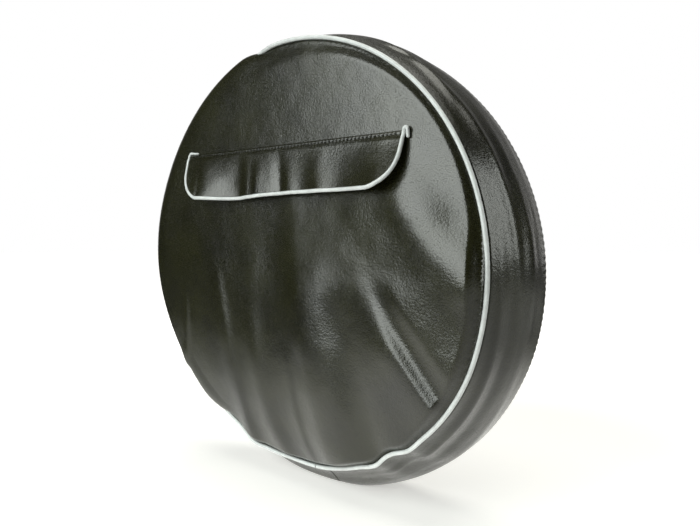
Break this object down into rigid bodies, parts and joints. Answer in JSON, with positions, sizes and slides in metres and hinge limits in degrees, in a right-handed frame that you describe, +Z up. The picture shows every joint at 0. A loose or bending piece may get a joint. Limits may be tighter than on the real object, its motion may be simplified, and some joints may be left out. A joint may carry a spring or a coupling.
{
  "type": "spare tyre cover",
  "caption": "Round drum-shaped leatherette cover for a small spare tyre, with contrast piping, an elastic rear mouth and a flapped document pocket in its front.",
  "frame": {"origin": "centre of the space that the tyre fills, on the wheel's axle", "axes": "+Y along the axle and out of the elastic mouth at the rear, so the front panel faces -Y; +Z up, with the pocket in the upper half; +X to the right seen from the front"},
  "size_m": [0.435, 0.1175, 0.4309],
  "materials": {
    "leatherette": "fine-grained PVC leatherette, semi-gloss",
    "leatherette_back": "knitted backing of the leatherette, matt",
    "piping": "smooth light grey PVC, satin",
    "piping_core": "extruded plastic cord, matt",
    "thread": "twisted polyester thread",
    "elastic": "braided round elastic cord",
    "lining": "plain woven nylon lining",
    "hook_and_loop": "hook and loop tape, matt pile"
  },
  "bodies": {
    "cover": {"front_panel": "leatherette", "side_band": "leatherette", "band_joint_allowance": "leatherette_back", "rim_piping": "piping", "rim_piping_core": "piping_core", "rim_seam_thread": "thread", "elastic_casing": "leatherette", "elastic_cord": "elastic", "casing_thread": "thread", "mouth_facing": "leatherette", "mouth_bar_tacks": "thread", "pocket_bag_front": "lining", "pocket_bag_back": "lining", "pocket_bag_thread": "thread", "flap_heading": "leatherette", "flap_seam_stitches": "thread", "flap_piping_ends": "piping", "loop_strip": "hook_and_loop", "loop_strip_thread": "thread"},
    "flap": {"flap_outer": "leatherette", "flap_lining": "lining", "flap_piping": "piping", "flap_piping_core": "piping_core", "hook_strip": "hook_and_loop", "hook_strip_thread": "thread"}
  },
  "joints": [
    {"name": "flap_fold", "type": "hinge", "parent": "cover", "child": "flap", "pos_m": [0, -0.0558, 0.109], "axis": [-1, 0, 0], "range_deg": [-7, 150]}
  ]
}
